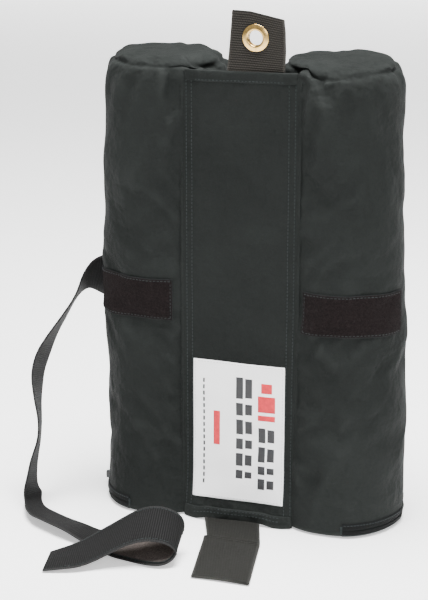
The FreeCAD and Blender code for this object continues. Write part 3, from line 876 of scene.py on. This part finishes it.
panel_sewing = Sewing()
forward = np.tile([0, -1, 0], (60, 1))
for share in (-0.975, -0.875, 0.975, 0.865):
    g = panel_grid(share, share, BASE_Z + 4, PANEL_TOP - 3, 2, 160, lift=0.02, fit=True)[:, 0]
    panel_sewing.row(g, np.tile([0, -1, 0], (160, 1)))
for z, lift in ((PANEL_TOP - 7.4, 0.75), (BASE_Z + 7.8, 0.75), (BASE_Z + 5.0, 1.1)):
    g = panel_grid(-0.8, 0.8, z, z + 0.01, 60, 2, lift=lift, fit=True)[0]
    if z > 380:
        g[:, 2] += top_slope(g[:, 0])
    panel_sewing.row(g, forward)
panel_thread = panel_sewing.piece("panel_stitching", "panel")

# seam allowance between tube and panel: a small raised fold outside, and wings behind both cloths across the
# seam
WING = 4.5
TUBE_SLOPE = math.tan(math.radians(-RIGHT_SEAM))
for side, sign in SIDES.items():
    across = np.array([-WING, -3, -1.2, -0.6, 0, 0.6, 1.2, 3, WING])
    lean = np.where(across > 0, -TUBE_SLOPE * across, 0)
    face = 1.2 - 2.1 * np.exp(-(across / 1.1) ** 2) + lean
    outline = list(zip(across, face)) + list(zip(across[::-1], lean[::-1] + 1.8))
    rows = []
    for z in np.linspace(5, PANEL_TOP - 1, 150):
        x, y = seam_point(side, z, 0.1)
        rows.append([x, y - 0.2 - FRONT_KICK * float(kick(z)), z])
    rows = np.array(rows)
    rows[:, 0] += wobble(rows, 20, 11 + sign) * 0.4
    pts = []
    for i, p in enumerate(rows):
        size = min(1, (i + 1) / 4, (len(rows) - i) / 4)
        for dx, dy in outline:
            pts.append(p + np.array([sign * dx * size, dy * size + 1.2 * (1 - size), 0]))
    fold = mesh_piece(f"{side}_seam_fold", pts, ring_faces(len(rows), len(outline)))
    set_uv(fold, np.asarray(pts)[:, [0, 2]])
    # even painted highlight over the raised seam fold
    add_values(fold, "painted_ridge_light", np.full(len(pts), 0.12))
    dress(fold, "canvas")
    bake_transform(fold)

# ---------------------------------------------------------------- label
LABEL_SHIFT = 1.6
low, high = corner("label_patch", 0), corner("label_patch", 1)
low, high = low + [LABEL_SHIFT, 0, 2.4], high + [LABEL_SHIFT, 0, 1.0]
grid = panel_grid(low[0], high[0], low[2], high[2], 45, 66, lift=0.32)
grid[..., 1] -= 0.15 + 0.25 * np.abs(wobble(grid, 18, 9))
label = slab("label_cloth", grid, 0.35, grid[..., [0, 2]])
dress(label, "label", "panel", ["label_patch"])


def print_block(x0, x1, z0, z1):
    """Grid over a printed rectangle, just proud of the label."""
    cols, rows = max(3, int((x1 - x0) / 2.2)), max(3, int((z1 - z0) / 2.2))
    g = panel_grid(x0, x1, z0, z1, cols, rows, lift=0.32)
    g[..., 1] -= 0.15 + 0.25 * np.abs(wobble(g, 18, 9)) + 0.24
    return g


def printed(name, blocks, look):
    """Thin film of ink in several blocks, joined into one piece."""
    parts = []
    for k, block in enumerate(blocks):
        g = print_block(*block)
        parts.append(slab(f"{name}_{k}", g, 0.06, g[..., [0, 2]], round_edge=0.5))
    bpy.ops.object.select_all(action="DESELECT")
    for p in parts:
        p.select_set(True)
    bpy.context.view_layer.objects.active = parts[0]
    if len(parts) > 1:
        bpy.ops.object.join()
    parts[0].name = name
    return dress(parts[0], look, "panel")


bars = []
for x, runs in ((28, ((78, 92), (60, 74), (48, 56), (34, 44))),
                (7, ((118, 138), (102, 114), (84, 98), (70, 80), (54, 66), (42, 50)))):
    bars += [(x - 7.5, x - 1, a, b) for a, b in runs] + [(x + 1, x + 7.5, a + 1, b - 1) for a, b in runs]
fine = [(-32, -30.4, z, z + 3.8) for z in range(34, 136, 6)]
label_ink = printed("label_print_dark", bars + fine, "ink")
red_bars = [(20, 36, 99, 104), (20, 36, 107, 122), (-22, -16, 72, 104), (23, 33, 125, 134)]
label_red = printed("label_print_red", red_bars, "red")
edge = Sewing()
(x_low, _, z_low), (x_high, _, z_high) = low + 1.6, high - 1.6
for x0, z0, x1, z1 in ((x_low, z_low, x_high, z_low), (x_high, z_low, x_high, z_high),
                       (x_high, z_high, x_low, z_high), (x_low, z_high, x_low, z_low)):
    path = panel_point(np.linspace(x0, x1, 60), np.linspace(z0, z1, 60), 0.75)
    edge.row(path, forward, pitch=2.9, length=1.9, wide=0.4, high=0.3)
label_thread = edge.piece("label_stitching", "panel", "pale_thread")


# ---------------------------------------------------------------- top tab and its grommet
low, high = corner("top_tab_webbing", 0), corner("top_tab_webbing", 1)
eye_low, eye_high = corner("grommet_eyelet", 0), corner("grommet_eyelet", 1)
EYE = (eye_low + eye_high) / 2
EYE[1] = (low[1] + high[1]) / 2


def tab_band():
    """The webbing goes up the front, over a slanted fold and down the back."""
    cols, half = 33, 30
    xs = np.linspace(0, 1, cols)
    rows = []
    foot_z = PANEL_TOP - 1.5
    for k in range(2 * half + 9):
        if k < half:
            s, depth = k / half, -0.72
        elif k < half + 9:
            s, depth = 1, None
        else:
            s, depth = 1 - (k - half - 8) / half, 0.72
        row = []
        for x in xs:
            top = np.interp(x, [0, 0.35, 0.6, 1], [465.0, 464.4, 462.2, 458.6])
            left = np.interp(s, [0, 1], [low[0] - 0.2, low[0] + 4.2])
            right = np.interp(s, [0, 0.45, 0.8, 1], high[0] + np.array([-0.2, 0.9, 0.4, -0.8]))
            bow = 1.5 * math.sin(math.pi * s) * (x - 0.5) * 2
            z = foot_z + s * (top - 1.2 - foot_z)
            y = EYE[1] + (depth if depth is not None else 0)
            if depth is None:
                a = math.pi * (k - half + 0.5) / 9
                y, z = EYE[1] - 0.95 * math.cos(a), z + 1.1 * math.sin(a)
            y += 0.9 - bow * 0.5 + 0.5 * math.sin(3 * x + 2 * s) * s
            row.append((left + (right - left) * x, y, z))
        rows.append(row)
    return np.array(rows)


grid = tab_band()
lengths = distances(grid[:, 16])
uv = np.stack([grid[..., 0], np.repeat(lengths[:, None], grid.shape[1], axis=1)], axis=-1)
top_tab = slab("top_tab_band", grid, 1.25, uv)
edge_values(top_tab, *grid.shape[:2])
bpy.ops.mesh.primitive_cylinder_add(vertices=48, radius=7.4 * MM, depth=0.02, location=tuple(EYE * MM),
                                    rotation=(math.pi / 2, 0, 0))
cutter = bpy.context.active_object
cut = top_tab.modifiers.new("hole", "BOOLEAN")
cut.operation, cut.object, cut.solver = "DIFFERENCE", cutter, "EXACT"
applied(top_tab)
bpy.data.objects.remove(cutter)
dress(top_tab, "webbing", None, ["top_tab_webbing"])
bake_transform(top_tab)


def revolved(name, profile, centre, segments=64):
    """A ring revolved about the grommet's axis from (radius, forward) points."""
    pts = []
    for k in range(segments):
        a = 2 * math.pi * k / segments
        pts += [(centre[0] + r * math.cos(a), centre[1] - f, centre[2] + r * math.sin(a)) for r, f in profile]
    obj = mesh_piece(name, pts, ring_faces(segments, len(profile), closed=True))
    set_uv(obj, np.asarray(pts)[:, [0, 2]])
    return obj


BORE = 6.35  # radius of the eyelet's hole, from which the profiles' radii count
FRONT = [(0, -1.9), (0, 1.6), (0.35, 2.5), (1.1, 2.95), (2.2, 2.9), (3.6, 2.35), (4.8, 1.75), (5.5, 1.35),
         (5.55, 1.15), (4.6, 1.2), (2.4, 1.25), (0.8, 1.2), (0.75, -1.9)]
BACK = [(0.9, -1.3), (5.6, -1.3), (5.7, -1.6), (4.6, -2.1), (2.6, -2.5), (1.0, -2.3), (0.2, -2.75),
        (-0.05, -2.5), (0.1, -1.9)]
for name, profile, node in (("grommet_front_ring", FRONT, "grommet_eyelet"),
                            ("grommet_back_ring", BACK, "grommet_washer")):
    ring = revolved(name, [(BORE + r, f) for r, f in profile], EYE)
    subdivide(ring)
    dress(ring, "grommet", "top_tab", [node])

# ---------------------------------------------------------------- bottom tab on the floor
low, high = corner("bottom_tab_webbing", 0), corner("bottom_tab_webbing", 1)
rows, cols = 72, 25
tip_y, base_y = low[1] - 3, high[1] + 1.2
grid = np.zeros((rows, cols, 3))
for i in range(rows):
    s = i / (rows - 1)
    y = base_y + (tip_y - base_y) * s
    if s < 0.36:
        shift, half = -3.9 + 17.4 * s / 0.36, 25.4 - 1.6 * s / 0.36
    else:
        shift, half = 12.0 + 17.2 * (s - 0.36) / 0.64, 25.4
    crease_z = 1.5 * math.exp(-((s - 0.365) / 0.022) ** 2)
    z = 1.5 + 1.1 * max(0, 1 - s / 0.3) + crease_z + 0.6 * max(0, (s - 0.86) / 0.14) ** 2
    x = np.linspace(-half, half, cols) + shift
    grid[i, :, 0] = x
    grid[i, :, 1] = y + 0.5 * np.sin(x / 14)
    grid[i, :, 2] = z + 0.3 * np.sin(x / 11 + s * 5) * min(1, s * 3)
uv = np.stack([grid[..., 0], grid[..., 1]], axis=-1)
bottom_tab = slab("bottom_tab_band", grid, 2.2, uv)
edge_values(bottom_tab, rows, cols)
dress(bottom_tab, "lower", None, ["bottom_tab_webbing"])
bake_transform(bottom_tab)


# ---------------------------------------------------------------- loop strips round the tubes
def smooth_grid(grid, rounds=4):
    for _ in range(rounds):
        for axis in (0, 1):
            g = np.moveaxis(grid, axis, 0)
            g[1:-1] = 0.5 * g[1:-1] + 0.25 * (g[:-2] + g[2:])
    return grid


STRIP_TURNS = (-24, 76)
for side, sign in SIDES.items():
    node = f"{side}_loop_strip"
    z0, z1 = corner(node, 0)[2], corner(node, 1)[2]
    rows, cols = 46, 120
    grid, arc = wrap_grid(side, STRIP_TURNS, z0, z1, cols, rows, 0.75)
    grid = smooth_grid(grid)
    row, col = np.indices((rows, cols))
    border = np.minimum(np.minimum(row, rows - 1 - row), np.minimum(col, cols - 1 - col))  # from the rim
    fuzz = (wobble(grid, 0.9, 21 + sign) + wobble(grid, 2.6, 25 + sign)) * 0.5
    fuzz = fuzz * np.clip((border - 1.5) / 2, 0, 1)
    grid = grid + outward(side, grid) * (fuzz + 0.45 * np.clip((border - 1) / 2, 0, 1))[..., None]
    strip = slab(f"{side}_loop_pile", grid, 0.9, np.stack([grid[..., 2], arc], axis=-1))
    marks = np.clip(1 - border, 0, 1) * 0.8
    add_values(strip, "edge", np.r_[marks.ravel(), marks.ravel(), np.ones(2 * (rows + cols) - 4)])
    dress(strip, "loop_pile", f"{side}_tube", [node])
    sew = Sewing()
    t0, t1, low, high = STRIP_TURNS[0] + 2, STRIP_TURNS[1] - 2, z0 + 1.8, z1 - 1.8
    for a, b in (((t0, low), (t1, low)), ((t0, high), (t1, high)),
                 ((t0, low), (t0, high)), ((t1, low), (t1, high))):
        sew.row(*tube_path(side, a, b, 1.35, 60))
    thread = sew.piece(f"{side}_strip_stitching", f"{side}_tube")

# ---------------------------------------------------------------- zips round the feet
ZIP_TURNS = (18, 178)
for side, sign in SIDES.items():
    start, end = ZIP_TURNS
    for part in ("lower", "upper"):
        node = f"{side}_zip_{part}_tape"
        grid, arc = wrap_grid(side, ZIP_TURNS, corner(node, 0)[2], corner(node, 1)[2], 150, 6, 0.45)
        tape = slab(f"{side}_{part}_tape", grid, 0.7, np.stack([grid[..., 2], arc], axis=-1))
        dress(tape, "zip_tape", f"{side}_tube", [node])
    node = f"{side}_zip_coil"
    mid = (corner(node, 0)[2] + corner(node, 1)[2]) / 2
    pts = []
    turns, steps, ring = int(math.radians(end - start) * 57 / 1.35), 9, 5
    total = turns * steps
    for k in range(total):
        t = start + (end - start) * k / (total - 1)
        phase = 2 * math.pi * k / steps
        a = math.radians(t)
        way = np.array([sign * math.sin(a), -math.cos(a), 0])
        around = np.array([sign * math.cos(a), math.sin(a), 0])
        r = 57.15 + 0.75 * math.cos(phase)
        c = np.array([sign * TUBE_X, 0, mid + 1.15 * math.sin(phase)]) + way * r
        side_way = unit(way * math.cos(phase) + np.array([0, 0, 1]) * math.sin(phase))
        for j in range(ring):
            b = 2 * math.pi * j / ring
            pts.append(c + (side_way * math.cos(b) + around * math.sin(b)) * 0.36)
    coil = mesh_piece(f"{side}_coil_teeth", pts, ring_faces(total, ring))
    set_uv(coil, np.asarray(pts)[:, [0, 2]])
    dress(coil, "zip_coil", f"{side}_tube", [node])
    sew = Sewing()
    for z in (mid - 4.6, mid + 4.6):
        sew.row(*tube_path(side, (start + 1, z), (end - 1, z), 0.9, 150), pitch=3.0)
    for t in (start - 0.6, end + 0.6):
        for z in np.linspace(mid - 3.4, mid + 3.4, 9):
            sew.row(*tube_path(side, (t - 1.1, z), (t + 1.1, z), 0.9, 3), pitch=9, length=2.1)
    sew.piece(f"{side}_zip_stitching", f"{side}_tube")
    for part in ("slider", "pull", "front_stop", "back_stop"):
        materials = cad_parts[f"{side}_zip_{part}"].data.materials
        materials.clear()
        materials.append(MATS["zip_metal"])

# ---------------------------------------------------------------- closure strap
NEAR = [(-141, -8, 229), (-149, -10, 225), (-156, -12, 219), (-161, -16, 210), (-163, -20, 200),
        (-166, -28, 189), (-175, -38, 173), (-185, -47, 157), (-192, -56, 142), (-194, -63, 124),
        (-189, -69, 102), (-184, -73, 84), (-184, -76, 66), (-190, -78, 47), (-194, -79, 29),
        (-197, -79, 18), (-198, -76, 9), (-188, -96, 8.5), (-176, -113, 9), (-166, -120, 10),
        (-148, -130, 10), (-131, -138, 9), (-110, -147, 4.5), (-81, -160, 2), (-64, -167, 1.8),
        (-47, -173, 1.8), (-36, -175, 2), (-27, -172, 3), (-20, -166, 7), (-17.5, -162, 12),
        (-18.5, -164, 17), (-25, -168, 22), (-33, -171, 25), (-42, -174, 25), (-51, -177, 23),
        (-60, -181, 20), (-73, -187, 13), (-84, -193, 8), (-94, -199, 5.4), (-104, -204, 4.4),
        (-122, -210, 2.2)]
FAR = [(-141, -8, 191), (-147, 0, 190), (-165, 12, 191), (-172, 13, 187), (-175, 13, 185), (-179, 6, 178),
       (-185, -2, 163), (-191, -10, 148), (-196, -21, 126), (-198, -26, 115), (-198, -34, 92),
       (-196, -39, 72), (-196, -43, 53), (-199, -44, 33), (-200, -44, 16), (-199, -43, 7), (-197, -40, 2.2),
       (-188, -62, 1.8), (-177, -76, 1.8), (-165, -84, 1.8), (-147, -94, 1.8), (-128, -102, 1.8),
       (-112, -109, 1.6), (-82, -124, 4), (-64, -127, 6), (-50, -130, 9), (-39, -131, 12), (-28, -131, 14),
       (-23, -129, 19), (-22.5, -127, 25), (-24, -131, 34), (-31, -134, 40), (-38, -139, 43),
       (-47, -141, 44), (-55, -144, 42), (-64, -148, 38), (-77, -153, 30), (-90, -159, 22),
       (-101, -165, 15), (-112, -169, 10), (-130, -174, 3.2)]
STRAP_WIDE = 38.0
near, far = np.array(NEAR), np.array(FAR)
mids = resample(np.hstack([(near + far) / 2, far - near]), 300, smooth=4.5)
centre, across = mids[:, :3], unit(mids[:, 3:])
resting = np.clip((120 - centre[:, 2]) / 110, 0, 1) ** 2
centre = centre + resting[:, None] * np.array([1.2, -3.5, 0])
shares = np.linspace(-0.5, 0.5, 17)
grid = centre[:, None, :] + across[:, None, :] * (shares * STRAP_WIDE)[None, :, None]
grid[..., 2] = np.maximum(grid[..., 2], 1.3)
length = distances(centre)
uv = np.stack(np.broadcast_arrays(shares * STRAP_WIDE, length[:, None]), axis=-1)
strap = slab("strap_band", grid, 1.5, uv)
edge_values(strap, *grid.shape[:2])
dress(strap, "strap", "strap", ["closure_strap"])

first = int(np.argmin(np.abs(length - 368)))  # where the hook tape starts
taped, normals = slice(first, -6), normals_of(grid)
tape_grid = grid[taped, 1:-1] + normals[taped, 1:-1] * 1.1
tape = slab("hook_pile", tape_grid, 0.8, uv[taped, 1:-1])
edge_values(tape, *tape_grid.shape[:2])
dress(tape, "hook_pile", "strap", ["strap_hook_tape"])
sew = Sewing()
for col, face in ((1, -1), (-2, -1), (1, 1), (-2, 1)):
    away = normals[taped, col] * face
    sew.row(grid[taped, col] + away * (0.85 if face < 0 else 1.6), away, pitch=3.2)
strap_thread = sew.piece("strap_stitching", "strap")

# strap's sewn root on the tube
low, high = corner("strap_anchor", 0), corner("strap_anchor", 1)
ROOT_TURNS = (80, 104)
grid, arc = wrap_grid("left", ROOT_TURNS, low[2], high[2], 24, 30, 0.8)
grid = smooth_grid(grid)
anchor = slab("strap_root", grid, 1.3, np.stack([grid[..., 2], arc], axis=-1))
edge_values(anchor, *grid.shape[:2])
dress(anchor, "strap", "left_tube", ["strap_anchor"])
sew = Sewing()
t0, t1, z0, z1 = ROOT_TURNS[0] + 8, ROOT_TURNS[1] - 2, low[2] + 3, high[2] - 3
for a, b in (((t0, z0), (t1, z0)), ((t0, z1), (t1, z1)), ((t0, z0), (t0, z1)), ((t1, z0), (t1, z1)),
             ((t0, z0), (t1, z1)), ((t0, z1), (t1, z0))):
    sew.row(*tube_path("left", a, b, 1.5, 30))
root_thread = sew.piece("root_stitching", "left_tube")

# ---------------------------------------------------------------- floor, light and camera
bpy.ops.mesh.primitive_plane_add(size=40, location=(0, 8, 0))
floor = bpy.context.active_object
floor.name = "studio_floor"
look = Look("studio_floor", rough=0.9, Specular_IOR_Level=0.1)
look.colour(look.ramp(look.noise(0.6), [(0.3, (0.93, 0.93, 0.93)), (0.7, (0.95, 0.95, 0.95))]))
look.shader.inputs["Emission Color"].default_value = (1, 1, 1, 1)
look.shader.inputs["Emission Strength"].default_value = 0.6
floor.data.materials.append(look.mat)

world = bpy.data.worlds.new("studio")
bpy.context.scene.world = world
world.use_nodes = True
world.node_tree.nodes["Background"].inputs[0].default_value = (1, 1, 1, 1)
world.node_tree.nodes["Background"].inputs[1].default_value = 0.47


def softbox(name, place, aim, size, power, spread=110):
    data = bpy.data.lights.new(name, "AREA")
    data.spread = math.radians(spread)
    data.shape, data.size, data.energy = "DISK", size, power
    lamp = bpy.data.objects.new(name, data)
    bpy.context.scene.collection.objects.link(lamp)
    lamp.location = place
    lamp.rotation_euler = (Vector(aim) - Vector(place)).to_track_quat("-Z", "Y").to_euler()


softbox("overhead", (0.1, -0.2, 2.6), (0, 0, 0.2), 1.7, 112)
softbox("floor_behind", (-1.4, 6.5, 5.0), (-1.4, 6.5, 0), 5.0, 560, spread=78)
softbox("front_right", (1.8, -1.8, 1.7), (0, 0, 0.2), 1.6, 12)

camera = bpy.data.objects.new("camera", bpy.data.cameras.new("camera"))
bpy.context.scene.collection.objects.link(camera)
camera.data.lens = 119.4
camera.location = (0.5240, -1.6577, 0.6934)
camera.rotation_euler = (math.radians(90 - 15.962), 0, math.radians(18.737))
bpy.context.scene.camera = camera
